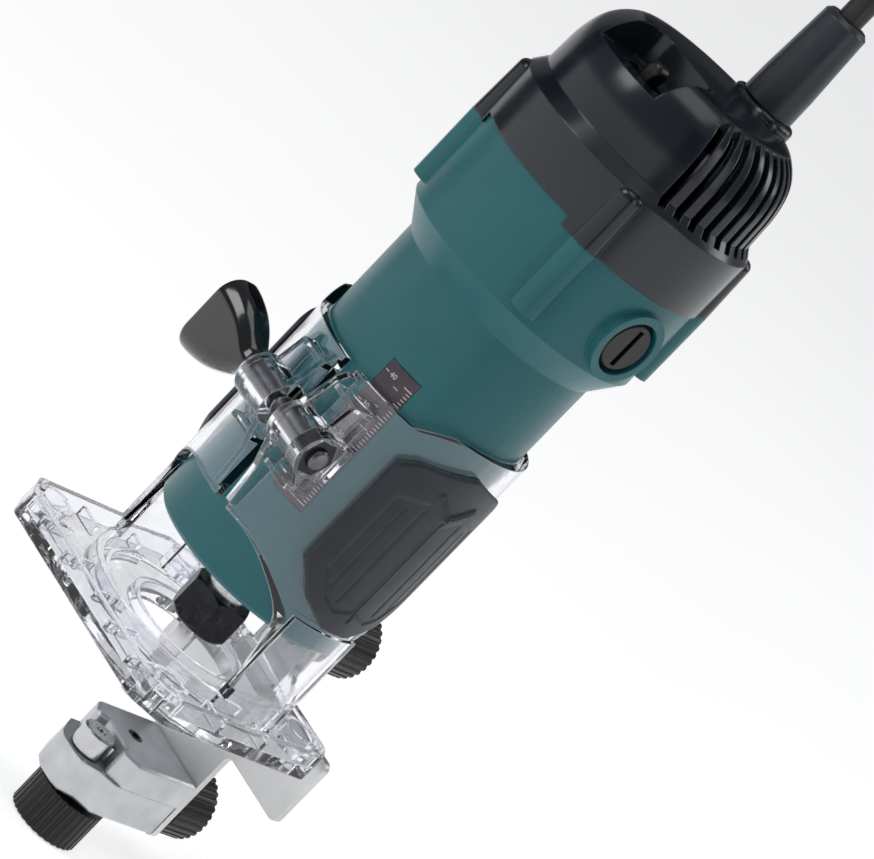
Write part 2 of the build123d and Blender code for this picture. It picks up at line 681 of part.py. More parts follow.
PAD_OUTLINE = [
    (-21.2, 51.2), (-21.2, 86.5), (-17.5, 89.6), (0, 94.2), (17.5, 89.6), (21.2, 86.5), (21.2, 51.2), (14.5, 43.2),
    (5, 38.2), (-5, 38.2), (-14.5, 43.2),
]
for pad_name, s in (("right", 1), ("left", -1)):
    with BuildPart() as pad:
        with BuildSketch(Plane.XY.offset(37)):
            Circle(R_PAD)
            Circle(R_SLEEVE + 0.02, mode=Mode.SUBTRACT)
        extrude(amount=60)
        with BuildSketch(Plane.YZ.offset(s * 20)):
            with BuildLine():
                Polyline(*PAD_OUTLINE, close=True)
            make_face()
            fillet(vertices(), 1.6)
        extrude(amount=s * 20, mode=Mode.INTERSECT)
    pad.part.label = "grip_pad_" + pad_name
    if s == 1:
        grip_pad_right = pad
    else:
        grip_pad_left = pad

with BuildPart() as clamp_nut:
    with BuildSketch(Plane.YZ.offset(17.05)):
        with Locations((CLAMP_Y, CLAMP_Z)):
            RegularPolygon(5.0, 6, major_radius=False)
            Circle(3.05, mode=Mode.SUBTRACT)
    extrude(amount=4.8)
clamp_nut.part.label = "clamp_nut"

with BuildPart() as guide_nut:
    with BuildSketch(Plane.XZ.offset(-31.5)):
        with Locations((GX, KNOB_A_Z)):
            Circle(4.48)
            Circle(2.95, mode=Mode.SUBTRACT)
    extrude(amount=-2.5)
guide_nut.part.label = "guide_nut"

# ================================================================ clamp screw with its wing knob
WING = [(-12.2, 9.6, 9.6, 4.7), (-16.0, 10.4, 10.8, 4.9), (-20.5, 12.0, 16.8, 5.3), (-25.5, 13.4, 21.6, 5.9), (-30.0, 14.4, 23.8, 6.3), (-34.0, 14.8, 24.4, 6.5)]
with BuildPart() as wing_knob:
    for x, wide, tall, r in WING:
        with BuildSketch(Plane.YZ.offset(x)):
            with Locations((CLAMP_Y, CLAMP_Z)):
                RectangleRounded(wide, tall, r)
    loft()
    fillet(faces().sort_by(Axis.X)[0].edges(), 0.9)
    with BuildSketch(Plane.YZ.offset(-10)):
        with Locations((CLAMP_Y, CLAMP_Z)):
            Circle(3.0)
    extrude(amount=-14, mode=Mode.SUBTRACT)
wing_knob.part.label = "wing_knob"

with BuildPart() as clamp_bolt:
    with BuildSketch(Plane.YZ.offset(-23.9)):
        with Locations((CLAMP_Y, CLAMP_Z)):
            Circle(2.98)
    extrude(amount=23.9 + 23.4)
    chamfer(edges().sort_by(Axis.X)[-1], 0.6)
clamp_bolt.part.label = "clamp_bolt"

with BuildPart() as clamp_washer:
    with BuildSketch(Plane.YZ.offset(-12.1)):
        with Locations((CLAMP_Y, CLAMP_Z)):
            Circle(6.0)
            Circle(3.05, mode=Mode.SUBTRACT)
    extrude(amount=1.05)
clamp_washer.part.label = "clamp_washer"

# ================================================================ trimmer guide
# sheet holder: upright leg with a slot, and a cross strip below the base
with BuildPart() as guide_holder:
    with BuildSketch(Plane.XZ.offset(-PLATE_Y0)):
        with BuildLine():
            Polyline((-13.2, -50.5), (12.6, -50.5), (12.6, -18), (38.4, -18), (38.4, 4), (13.5, 4), (13.5, 36), (-8.5, 36),
                     (-8.5, 4), (-33.0, 4), (-33.0, -18), (-13.2, -18), close=True)
        make_face()
        fillet(vertices(), 2.2)
        with Locations((GX, KNOB_A_Z)):
            SlotCenterToCenter(9.5, 6.5, rotation=90, mode=Mode.SUBTRACT)
        with Locations((KNOB_B_X, KNOB_B_Z)):
            Circle(2.1, mode=Mode.SUBTRACT)
    extrude(amount=-(PLATE_Y1 - PLATE_Y0))
guide_holder.part.label = "guide_holder"

# cast block fixed to the holder
SET_SCREW = (-1.6, 17.4)
with BuildPart() as guide_block:
    with BuildSketch(Plane.XY.offset(-38.9)):
        with BuildLine():
            Polyline((-13.2, PLATE_Y0 - 0.02), (12.8, PLATE_Y0 - 0.02), (12.8, 10.2), (8.6, 6.4), (7.0, 6.6), (5.6, 9.2), (-5.0, 9.2), (-6.6, 6.6), (-8.4, 6.2), (-13.2, 10.4), close=True)
        make_face()
        fillet(vertices().filter_by_position(Axis.Y, 0, 12), 0.7)
    extrude(amount=8.2)
    chamfer(faces().sort_by(Axis.Z)[-1].edges(), 0.7)
    # thread of the lower clamp screw and a set screw from above
    with BuildSketch(Plane.XY.offset(-39)):
        with Locations((KNOB_C_X, KNOB_C_Y)):
            Circle(2.05)
    extrude(amount=5.0, mode=Mode.SUBTRACT)
    with BuildSketch(Plane.XY.offset(-33.2)):
        with Locations(SET_SCREW):
            Circle(2.4)
    extrude(amount=4, mode=Mode.SUBTRACT)
guide_block.part.label = "guide_block"

with BuildPart() as set_screw:
    with BuildSketch(Plane.XY.offset(-33.15)):
        with Locations(SET_SCREW):
            Circle(2.35)
    extrude(amount=2.5)
    with BuildSketch(Plane.XY.offset(-32.0)):
        with Locations(SET_SCREW):
            RegularPolygon(1.25, 6, major_radius=False)
    extrude(amount=4, mode=Mode.SUBTRACT)
set_screw.part.label = "set_screw"

# moving jaw that carries the roller
with BuildPart() as roller_slide:
    with BuildSketch(Plane.XY.offset(-49.8)):
        with BuildLine():
            Polyline((-12.9, PLATE_Y0 - 0.5), (12.5, PLATE_Y0 - 0.5), (12.5, 8.2), (8.4, 4.0), (6.6, -2.0), (3.4, -3.2), (-3.0, -3.2), (-6.2, -1.4), (-12.9, 6.4), close=True)
        make_face()
        fillet(vertices().filter_by_position(Axis.Y, -10, 10), 1.5)
    extrude(amount=10.8)
    chamfer(faces().sort_by(Axis.Z)[0].edges(), 0.8)
    # slot for the lower clamp screw
    with BuildSketch(Plane.XY.offset(-51)):
        with Locations((KNOB_C_X, KNOB_C_Y + JAW_TRAVEL / 2)):
            SlotCenterToCenter(JAW_TRAVEL + 0.4, 4.5, rotation=90)
    extrude(amount=13, mode=Mode.SUBTRACT)
    # thread of the adjusting screw
    with BuildSketch(Plane.XZ.offset(-PLATE_Y0)):
        with Locations((KNOB_B_X, KNOB_B_Z)):
            Circle(2.05)
    extrude(amount=23, mode=Mode.SUBTRACT)
    with BuildSketch(Plane.XY.offset(-46)):
        with Locations((ROLL_X, ROLL_Y)):
            Circle(1.52)
    extrude(amount=10, mode=Mode.SUBTRACT)
roller_slide.part.label = "roller_slide"

with BuildPart() as roller_pin:
    with BuildSketch(Plane.XY.offset(-45.9)):
        with Locations((ROLL_X, ROLL_Y)):
            Circle(1.5)
    extrude(amount=13.4)
roller_pin.part.label = "roller_pin"

with BuildPart() as guide_roller:
    with BuildSketch(Plane.XY.offset(-38.7)):
        with Locations((ROLL_X, ROLL_Y)):
            Circle(5.0)
            Circle(1.56, mode=Mode.SUBTRACT)
    extrude(amount=6.7)
    chamfer(edges().filter_by(GeomType.CIRCLE).sort_by(SortBy.RADIUS)[-2:], 0.5)
guide_roller.part.label = "guide_roller"

# knurled knobs: A and B turn about Y behind the holder, C about Z below the jaw
KNURLS = 30
with BuildPart() as knob_a:
    with BuildSketch(Plane.XZ.offset(-PLATE_Y1 - 1.3)):
        with Locations((GX, KNOB_A_Z)):
            Circle(R_KNOB)
            with PolarLocations(R_KNOB + 0.15, KNURLS):
                Circle(0.62, mode=Mode.SUBTRACT)
    extrude(amount=-12.2)
    with BuildSketch(Plane.XZ.offset(-PLATE_Y1 - 0.05)):
        with Locations((GX, KNOB_A_Z)):
            Circle(7.0)
    extrude(amount=-1.3)
    with BuildSketch(Plane.XZ.offset(-PLATE_Y1 + 3)):
        with Locations((GX, KNOB_A_Z)):
            Circle(2.9)
    extrude(amount=-12.3, mode=Mode.SUBTRACT)
knob_a.part.label = "knob_a"

with BuildPart() as stud_a:
    with BuildSketch(Plane.XZ.offset(-31.6)):
        with Locations((GX, KNOB_A_Z)):
            Circle(2.89)
    extrude(amount=-13.8)
stud_a.part.label = "stud_a"

with BuildPart() as knob_b:
    with BuildSketch(Plane.XZ.offset(-PLATE_Y1 - 1.3)):
        with Locations((KNOB_B_X, KNOB_B_Z)):
            Circle(R_KNOB)
            with PolarLocations(R_KNOB + 0.15, KNURLS):
                Circle(0.62, mode=Mode.SUBTRACT)
    extrude(amount=-12.2)
    with BuildSketch(Plane.XZ.offset(-PLATE_Y1 - 0.05)):
        with Locations((KNOB_B_X, KNOB_B_Z)):
            Circle(6.0)
    extrude(amount=-1.3)
    with BuildSketch(Plane.XZ.offset(-PLATE_Y1 + 3)):
        with Locations((KNOB_B_X, KNOB_B_Z)):
            Circle(2.0)
    extrude(amount=-12.3, mode=Mode.SUBTRACT)
knob_b.part.label = "knob_b"

with BuildPart() as adjusting_screw:
    with BuildSketch(Plane.XZ.offset(-21.0)):
        with Locations((KNOB_B_X, KNOB_B_Z)):
            Circle(1.99)
    extrude(amount=-24.4)
adjusting_screw.part.label = "adjusting_screw"

with BuildPart() as knob_c:
    with BuildSketch(Plane.XY.offset(-63.2)):
        with Locations((KNOB_C_X, KNOB_C_Y)):
            Circle(R_KNOB)
            with PolarLocations(R_KNOB + 0.15, KNURLS):
                Circle(0.62, mode=Mode.SUBTRACT)
    extrude(amount=12.0)
    with BuildSketch(Plane.XY.offset(-51.2)):
        with Locations((KNOB_C_X, KNOB_C_Y)):
            Circle(6.5)
    extrude(amount=1.3)
    with BuildSketch(Plane.XY.offset(-57.8)):
        with Locations((KNOB_C_X, KNOB_C_Y)):
            Circle(2.0)
    extrude(amount=12, mode=Mode.SUBTRACT)
knob_c.part.label = "knob_c"

with BuildPart() as stud_c:
    with BuildSketch(Plane.XY.offset(-57.7)):
        with Locations((KNOB_C_X, KNOB_C_Y)):
            Circle(1.99)
    extrude(amount=23.4)
stud_c.part.label = "stud_c"

# ================================================================ mains cord
# from the guard up and over, down behind the tool into the tied hank
ROUTE = [behind(0, 0, Z_GUARD), behind(-0.6, 0, 259), behind(4.5, 0, 281), behind(24, 0.3, 300), behind(52, 0.4, 303),
         behind(75, 0.3, 287), behind(84, 0, 259), behind(86.5, 0, 226), behind(87.4, 0, 195), behind(87.6, 0, 161)]


def corner_radii(points):
    radii = []
    for a, b, c in zip(points, points[1:], points[2:]):
        u, v = Vector(*b) - Vector(*a), Vector(*c) - Vector(*b)
        turn = math.radians(u.get_angle(v))
        radii.append(0.45 * min(u.length, v.length) / math.tan(turn / 2))
    return radii


RADII = corner_radii(ROUTE)
print("cord radii", [round(r, 1) for r in RADII])
with BuildPart() as power_cord:
    with BuildLine() as cord_path:
        FilletPolyline(*ROUTE, radius=RADII)
    with BuildSketch(Plane(origin=ROUTE[0], z_dir=Vector(*ROUTE[1]) - Vector(*ROUTE[0]))):
        Circle(CORD_R)
    sweep()
power_cord.part.label = "power_cord"
tube_length = sum(e.length for e in cord_path.edges())
print("cord tube", round(tube_length, 1), "volume ratio", round(power_cord.part.volume / (math.pi * CORD_R**2 * tube_length), 4))

# hank: six long turns side by side and one on another, as one solid of their outer shape
HANK_D0, HANK_D1 = 26.7, 91.6     # across, measured from the guard
HANK_Z0, HANK_Z1 = 37.0, 171.6
HANK_PLANE = Plane(origin=behind((HANK_D0 + HANK_D1) / 2, 0, (HANK_Z0 + HANK_Z1) / 2), x_dir=(AWAY[0], AWAY[1], 0), z_dir=(SIDE[0], SIDE[1], 0))
with BuildPart() as cord_hank:
    with BuildSketch(HANK_PLANE.offset(-11.0)):
        RectangleRounded(HANK_D1 - HANK_D0, HANK_Z1 - HANK_Z0, (HANK_D1 - HANK_D0) / 2 - 0.01)
        RectangleRounded(HANK_D1 - HANK_D0 - 4 * 7.3, HANK_Z1 - HANK_Z0 - 4 * 7.3, (HANK_D1 - HANK_D0 - 4 * 7.3) / 2 - 0.01, mode=Mode.SUBTRACT)
    extrude(amount=22.0)
    fillet(edges().filter_by(GeomType.LINE), 2.5)
cord_hank.part.label = "cord_hank"

# short tail from the hank's lower fold up to the plug
TAIL = [behind(88.0, -6.0, 80), behind(88.0, -6.0, 49.9), behind(74.4, -10.4, 35.6), behind(55.2, -16.6, 35.6), behind(41.6, -21, 49.9), behind(41.6, -21, 84)]
TAIL_RADII = corner_radii(TAIL)
print("tail radii", [round(r, 1) for r in TAIL_RADII])
with BuildPart() as cord_tail:
    with BuildLine() as tail_path:
        FilletPolyline(*TAIL, radius=TAIL_RADII)
    with BuildSketch(Plane(origin=TAIL[0], z_dir=Vector(*TAIL[1]) - Vector(*TAIL[0]))):
        Circle(CORD_R)
    sweep()
cord_tail.part.label = "cord_tail"
tail_length = sum(e.length for e in tail_path.edges())
print("tail", round(tail_length, 1), "volume ratio", round(cord_tail.part.volume / (math.pi * CORD_R**2 * tail_length), 4))

# strap round the hank
with BuildPart() as cord_tie:
    with BuildSketch(Plane(origin=behind((HANK_D0 + HANK_D1) / 2, 0, 108.0), x_dir=(AWAY[0], AWAY[1], 0), z_dir=(0, 0, 1))):
        RectangleRounded(HANK_D1 - HANK_D0 + 2.6, 22.0 + 2.6, 3.4)
        RectangleRounded(HANK_D1 - HANK_D0 + 0.2, 22.0 + 0.2, 2.3, mode=Mode.SUBTRACT)
    extrude(amount=14)
cord_tie.part.label = "cord_tie"

# moulded two-blade plug, lying against the hank
PLUG_D, PLUG_S = 41.6, -21.0
with BuildPart() as plug_body:
    for z, w, t in ((84.0, 9.8, 9.8), (100.0, 11.5, 11.5), (106.0, 20.0, 14.5), (128.0, 24.0, 15.5), (136.0, 24.0, 15.5)):
        with BuildSketch(Plane(origin=behind(PLUG_D, PLUG_S, z), x_dir=(AWAY[0], AWAY[1], 0), z_dir=(0, 0, 1))):
            RectangleRounded(w, t, min(w, t) / 2 - 0.4)
    loft(ruled=True)
plug_body.part.label = "plug_body"

with BuildPart() as plug_blades:
    for s in (1, -1):
        with BuildSketch(Plane(origin=behind(PLUG_D + s * 6.35, PLUG_S, 136.0), x_dir=(AWAY[0], AWAY[1], 0), z_dir=(0, 0, 1))):
            Rectangle(1.5, 6.4)
        extrude(amount=17.0)
plug_blades.part.label = "plug_blades"

# ================================================================ export
PIECES = {
    "motor_housing": motor_housing.part, "scale_plate": scale_plate.part, "top_cap": top_cap.part,
    "housing_screws": housing_screws.part, "brush_caps": brush_caps.part, "brush_holders": brush_holders.part,
    "carbon_brushes": carbon_brushes.part, "brush_springs": brush_springs.part, "field_stator": field_stator.part,
    "field_coils": field_coils.part, "end_bracket": end_bracket.part, "upper_bearing": upper_bearing.part,
    "lower_bearing": lower_bearing.part, "switch_body": switch_body.part, "switch_toggle": toggle_solid,
    "cord_guard": cord_guard.part, "cord_clamp": cord_clamp.part, "armature_shaft": armature_shaft.part,
    "armature_core": armature_core.part, "armature_windings": armature_windings.part, "commutator": commutator.part,
    "cooling_fan": cooling_fan.part, "collet_cone": collet_cone.part, "collet_nut": collet_nut.part,
    "router_bit": router_bit.part, "clear_base": clear_base.part, "grip_pad_right": grip_pad_right.part,
    "grip_pad_left": grip_pad_left.part, "clamp_nut": clamp_nut.part, "guide_nut": guide_nut.part,
    "wing_knob": wing_knob.part, "clamp_bolt": clamp_bolt.part, "clamp_washer": clamp_washer.part,
    "guide_holder": guide_holder.part, "guide_block": guide_block.part, "set_screw": set_screw.part,
    "roller_slide": roller_slide.part, "roller_pin": roller_pin.part, "guide_roller": guide_roller.part,
    "knob_a": knob_a.part, "stud_a": stud_a.part, "knob_b": knob_b.part, "adjusting_screw": adjusting_screw.part,
    "knob_c": knob_c.part, "stud_c": stud_c.part, "power_cord": power_cord.part, "cord_hank": cord_hank.part, "cord_tail": cord_tail.part,
    "cord_tie": cord_tie.part, "plug_body": plug_body.part, "plug_blades": plug_blades.part,
}
for name, piece in PIECES.items():
    export_step(piece, "parts/" + name + ".step")
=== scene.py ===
import json
import math

import bpy
import bmesh
import numpy as np
from mathutils import Matrix, Vector

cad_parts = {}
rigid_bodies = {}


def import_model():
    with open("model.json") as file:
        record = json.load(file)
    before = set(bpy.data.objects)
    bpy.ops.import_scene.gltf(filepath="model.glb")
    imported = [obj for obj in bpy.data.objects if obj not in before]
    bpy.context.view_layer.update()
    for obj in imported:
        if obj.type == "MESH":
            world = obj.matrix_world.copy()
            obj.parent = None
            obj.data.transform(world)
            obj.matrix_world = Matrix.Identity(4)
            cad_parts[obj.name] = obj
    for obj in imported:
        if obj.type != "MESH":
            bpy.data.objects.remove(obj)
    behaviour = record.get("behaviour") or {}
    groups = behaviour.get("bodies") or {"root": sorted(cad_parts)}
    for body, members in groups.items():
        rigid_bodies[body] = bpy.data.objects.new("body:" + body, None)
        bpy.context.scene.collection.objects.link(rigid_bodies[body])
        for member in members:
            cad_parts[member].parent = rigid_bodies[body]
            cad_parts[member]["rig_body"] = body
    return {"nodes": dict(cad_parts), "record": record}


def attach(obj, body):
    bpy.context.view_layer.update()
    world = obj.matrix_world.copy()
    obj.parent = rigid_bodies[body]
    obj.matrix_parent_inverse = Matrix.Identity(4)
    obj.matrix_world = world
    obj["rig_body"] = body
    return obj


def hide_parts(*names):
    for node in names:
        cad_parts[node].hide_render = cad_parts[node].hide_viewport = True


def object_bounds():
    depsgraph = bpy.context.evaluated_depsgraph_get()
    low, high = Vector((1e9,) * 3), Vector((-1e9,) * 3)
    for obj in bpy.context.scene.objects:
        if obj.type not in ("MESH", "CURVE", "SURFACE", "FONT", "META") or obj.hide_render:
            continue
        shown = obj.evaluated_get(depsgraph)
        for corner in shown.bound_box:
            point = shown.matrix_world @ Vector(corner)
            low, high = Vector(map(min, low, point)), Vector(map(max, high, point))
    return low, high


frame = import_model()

MM = 0.001
NODES = frame["nodes"]


def as_lists(box):
    return [[float(c) for c in corner] for corner in box]


CAD_BOX = as_lists(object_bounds())
SCENE = bpy.context.scene
SCENE.view_settings.view_transform = "Standard"
SCENE.view_settings.look = "None"

# ------------------------------------------------------------------ camera
AZ, EL, ROLL = math.radians(37.5284), math.radians(13.9468), math.radians(44.0574)
TARGET = Vector((8.164, 6.270, 90.896)) * MM
BACK = Vector((math.sin(AZ) * math.cos(EL), -math.cos(AZ) * math.cos(EL), math.sin(EL)))
LEVEL = Vector((math.cos(AZ), math.sin(AZ), 0.0))
RISE = BACK.cross(LEVEL)
RIGHT = LEVEL * math.cos(ROLL) + RISE * math.sin(ROLL)
UP = RISE * math.cos(ROLL) - LEVEL * math.sin(ROLL)

cam_data = bpy.data.cameras.new("camera")
cam_data.sensor_width = 36.0
cam_data.lens = 4793.65 * 36.0 / 874.0
cam_data.clip_start, cam_data.clip_end = 0.05, 50.0
cam = bpy.data.objects.new("camera", cam_data)
SCENE.collection.objects.link(cam)
place = TARGET + BACK * (1232.80 * MM)
turn = Matrix((RIGHT, UP, BACK)).transposed().to_4x4()
cam.matrix_world = Matrix.Translation(place) @ turn
SCENE.camera = cam

# ------------------------------------------------------------------ the mains lead
AWAY, SIDE = (-0.6092, 0.7930), (0.7930, 0.6092)


def behind(d, side, z):
    """A point on the vertical plane that runs back from the cord guard."""
    return (AWAY[0] * d + SIDE[0] * side, 22 + AWAY[1] * d + SIDE[1] * side, z)


LEAD = [
    behind(0, 0, 238), behind(-0.6, 0, 259), behind(4.5, 0, 281), behind(24, 0.3, 300), behind(52, 0.4, 303),
    behind(75, 0.3, 287), behind(84, 0, 259), behind(86.5, 0, 226), behind(87.4, 0, 195), behind(87.6, 0, 161),
]
TAIL = [
    behind(88, -6, 80), behind(88, -6, 49.9), behind(74.4, -10.4, 35.6), behind(55.2, -16.6, 35.6),
    behind(41.6, -21, 49.9), behind(41.6, -21, 84),
]
MID_D, OUTER, INNER, Z_LOW, Z_HIGH, STEP = 59.15, 28.85, 21.65, 69.45, 139.15, 7.2


def bend(top, r0, r1, s0, s1, share):
    """Six points of a half turn of the hank, from the run it comes off. share is the part of it in which it changes."""
    made = []
    for k in range(6):
        t = (k + 0.5) / 6
        w = min(1.0, max(0.0, (t - share[0]) / (share[1] - share[0])))
        w = w * w * (3 - 2 * w)
        r = (r0 + (r1 - r0) * w) * 1.034
        a = math.pi * t
        d = MID_D - r * math.cos(a) if top else MID_D + r * math.cos(a)
        z = Z_HIGH + r * math.sin(a) if top else Z_LOW - r * math.sin(a)
        made.append(behind(d, s0 + (s1 - s0) * w, z))
    return made


def run(up, r, side0, side1=None, sway=0.0):
    side1 = side0 if side1 is None else side1
    d = MID_D - r if up else MID_D + r
    z = (Z_LOW, Z_HIGH) if up else (Z_HIGH, Z_LOW)
    return [behind(d + sway, (side0 + side1) / 2, (z[0] + z[1]) / 2)]


ALL = (0.0, 1.0)
HANK = (
    [behind(MID_D + OUTER, 0, Z_HIGH + 3)]
    + run(False, OUTER, 0) + bend(False, OUTER, OUTER, 0, 0, ALL)
    + run(True, OUTER, 0) + bend(True, OUTER, OUTER, 0, STEP, (0.42, 0.9))
    + run(False, OUTER, STEP) + bend(False, OUTER, OUTER, STEP, STEP, ALL)
    + run(True, OUTER, STEP) + bend(True, OUTER, INNER, STEP, STEP, (0.0, 0.5))
    + run(False, INNER, STEP) + bend(False, INNER, INNER, STEP, STEP, ALL)
    + run(True, INNER, STEP, 0) + bend(True, INNER, INNER, 0, 0, ALL)
    + run(False, INNER, 0) + bend(False, INNER, INNER, 0, 0, ALL)
    + run(True, INNER, 0, -STEP) + bend(True, INNER, INNER, -STEP, -STEP, ALL)
    + run(False, INNER, -STEP) + bend(False, INNER, OUTER, -STEP, -STEP, ALL)
    + run(True, OUTER, -STEP) + bend(True, OUTER, OUTER, -STEP, -STEP, ALL)
    + [behind(MID_D + OUTER, -STEP, 118)]
)
curve = bpy.data.curves.new("power_cord_line", "CURVE")
curve.dimensions = "3D"
curve.bevel_depth = 1.0
curve.bevel_resolution = 5
curve.resolution_u = 6
curve.use_fill_caps = True
spline = curve.splines.new("NURBS")
points = LEAD + HANK + TAIL
spline.points.add(len(points) - 1)
for point, at in zip(spline.points, points):
    point.co = (at[0] * MM, at[1] * MM, at[2] * MM, 1.0)
    point.radius = 3.6 * MM
spline.use_endpoint_u = True
spline.order_u = 3
power_cord = bpy.data.objects.new("power_cord_line", curve)
SCENE.collection.objects.link(power_cord)
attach(power_cord, "motor" if "power_cord" in frame["record"]["behaviour"]["bodies"].get("motor", []) else frame["nodes"]["power_cord"]["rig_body"])
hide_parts("power_cord", "cord_hank", "cord_tail")


# ------------------------------------------------------------------ materials
class Tree:
    """A node tree in the making, with short names for its parts."""

    def __init__(self, name):
        self.mat = bpy.data.materials.new(name)
        self.mat.use_nodes = True
        self.nt = self.mat.node_tree
        self.nt.nodes.clear()
        self.out = self.add("OutputMaterial")
        self.shader = self.add("BsdfPrincipled")
        self.join(self.shader.outputs[0], self.out.inputs[0])
        self.coords = self.add("TexCoord").outputs["Object"]

    def add(self, kind, **settings):
        node = self.nt.nodes.new("ShaderNode" + kind)
        for key, value in settings.items():
            setattr(node, key, value)
        return node

    def join(self, a, b):
        self.nt.links.new(a, b)

    def put(self, socket, value):
        if isinstance(value, bpy.types.NodeSocket):
            self.join(value, socket)
        else:
            socket.default_value = value

    def noise(self, size, detail=2.0, rough=0.5, stretch=None, distort=0.0):
        source = self.coords
        if stretch is not None:
            mapping = self.add("Mapping")
            mapping.inputs["Scale"].default_value = stretch
            self.join(source, mapping.inputs["Vector"])
            source = mapping.outputs[0]
        node = self.add("TexNoise")
        self.join(source, node.inputs["Vector"])
        node.inputs["Scale"].default_value = 1.0 / size
        node.inputs["Detail"].default_value = detail
        node.inputs["Roughness"].default_value = rough
        node.inputs["Distortion"].default_value = distort
        return node.outputs[0]

    def spread(self, value, a, b, low=0.3, high=0.7):
        node = self.add("MapRange")
        node.clamp = True
        self.join(value, node.inputs[0])
        for i, x in enumerate((low, high, a, b)):
            node.inputs[i + 1].default_value = x
        return node.outputs[0]

    def math(self, op, a, b=0.0):
        node = self.add("Math", operation=op)
        self.put(node.inputs[0], a)
        self.put(node.inputs[1], b)
        return node.outputs[0]

    def mix(self, share, a, b):
        node = self.add("Mix", data_type="RGBA")
        self.put(node.inputs[0], share)
        self.put(node.inputs[6], (*a, 1) if isinstance(a, tuple) else a)
        self.put(node.inputs[7], (*b, 1) if isinstance(b, tuple) else b)
        return node.outputs[2]

    def soften(self, radius):
        """A normal rounded over the edges, and a mask of those edges."""
        bevel = self.add("Bevel", samples=4)
        bevel.inputs["Radius"].default_value = radius
        dot = self.add("VectorMath", operation="DOT_PRODUCT")
        self.join(bevel.outputs[0], dot.inputs[0])
        self.join(self.add("NewGeometry").outputs["Normal"], dot.inputs[1])
        return bevel.outputs[0], self.spread(dot.outputs["Value"], 1.0, 0.0, 0.75, 0.985)

    def bump(self, height, strength, distance, normal=None):
        node = self.add("Bump")
        node.inputs["Strength"].default_value = strength
        node.inputs["Distance"].default_value = distance
        self.join(height, node.inputs["Height"])
        if normal is not None:
            self.join(normal, node.inputs["Normal"])
        return node.outputs[0]


def surface(
    name, dark, light, rough, rough_by=0.05, patch=0.02, grain=0.0004, relief=0.25, depth=0.00002, edge=0.0003,
    worn=None, metal=0.0, specular=0.5, coat=0.0, coat_rough=0.08, sheen=0.0, stretch=None, detail=3.0,
):
    """Moulded, cast or turned stuff: colour that drifts over patches, a fine grain, and paler, smoother edges."""
    t = Tree(name)
    s = t.shader
    drift = t.spread(t.noise(patch, 3.0), 0.0, 1.0)
    colour = t.mix(drift, dark, light)
    normal, edges = t.soften(edge)
    if worn is not None:
        rub = t.math("MULTIPLY", edges, t.spread(t.noise(0.0015, 3.0, 0.6), 0.25, 1.0))
        colour = t.mix(rub, colour, worn)
    t.join(colour, s.inputs["Base Color"])
    fine = t.noise(grain, detail, 0.55, stretch)
    patchy = t.spread(t.noise(patch * 0.4, 4.0, 0.6), rough - rough_by, rough + rough_by)
    t.join(t.math("ADD", patchy, t.spread(fine, -rough_by * 0.4, rough_by * 0.4)), s.inputs["Roughness"])
    t.join(t.bump(fine, relief, depth, normal), s.inputs["Normal"])
    s.inputs["Metallic"].default_value = metal
    s.inputs["Specular IOR Level"].default_value = specular
    s.inputs["Coat Weight"].default_value = coat
    s.inputs["Coat Roughness"].default_value = coat_rough
    s.inputs["Sheen Weight"].default_value = sheen
    return t


TEAL = surface(
    "teal_moulding", (0.011, 0.108, 0.124), (0.016, 0.130, 0.146), 0.34, 0.04, 0.03, 0.00045, 0.18, 0.00002,
    0.0005, (0.04, 0.19, 0.21), specular=0.36,
).mat
CAP = surface(
    "black_moulding", (0.0062, 0.0092, 0.0145), (0.0088, 0.0125, 0.0190), 0.22, 0.03, 0.03, 0.0006, 0.14, 0.00002,
    0.0006, (0.018, 0.019, 0.022), specular=0.55,
).mat
GRIP = surface(
    "grip_rubber", (0.0075, 0.0110, 0.0180), (0.0125, 0.0170, 0.0255), 0.50, 0.06, 0.012, 0.00028, 0.6, 0.00004,
    0.0003, (0.05, 0.055, 0.075), specular=0.45, sheen=0.15,
).mat
GUARD = surface(
    "guard_rubber", (0.010, 0.014, 0.021), (0.016, 0.022, 0.031), 0.36, 0.06, 0.02, 0.0003, 0.4, 0.00003,
    0.0005, (0.09, 0.09, 0.095), specular=0.5, sheen=0.1,
).mat
GLOSS = surface(
    "gloss_black", (0.0030, 0.0032, 0.0040), (0.0060, 0.0064, 0.0080), 0.12, 0.04, 0.015, 0.0012, 0.12, 0.00004,
    0.0006, (0.05, 0.05, 0.055), coat=0.5, coat_rough=0.05, specular=0.6,
).mat
KNOB = surface(
    "knob_black", (0.0030, 0.0031, 0.0036), (0.0068, 0.0070, 0.0078), 0.34, 0.05, 0.006, 0.0004, 0.2, 0.00002,
    0.0003, (0.03, 0.03, 0.033), specular=0.4,
).mat
NUT = surface(
    "blackened_steel", (0.011, 0.011, 0.012), (0.024, 0.024, 0.026), 0.30, 0.07, 0.006, 0.00025, 0.4, 0.00002,
    0.0005, (0.16, 0.155, 0.15), metal=0.75, specular=0.6,
).mat
STEEL = surface(
    "bright_steel", (0.46, 0.46, 0.47), (0.62, 0.62, 0.63), 0.22, 0.07, 0.01, 0.0003, 0.3, 0.00001,
    0.0003, (0.85, 0.85, 0.86), metal=1.0, stretch=(1, 1, 0.06),
).mat
BOLT = surface(
    "bolt_steel", (0.11, 0.11, 0.12), (0.20, 0.20, 0.21), 0.34, 0.06, 0.006, 0.0003, 0.3, 0.00001,
    0.0003, (0.35, 0.35, 0.36), metal=1.0,
).mat
CAST = surface(
    "cast_alloy", (0.50, 0.51, 0.53), (0.62, 0.63, 0.65), 0.38, 0.05, 0.008, 0.0005, 0.5, 0.00005,
    0.0006, (0.88, 0.88, 0.90), metal=0.72, detail=5.0,
).mat
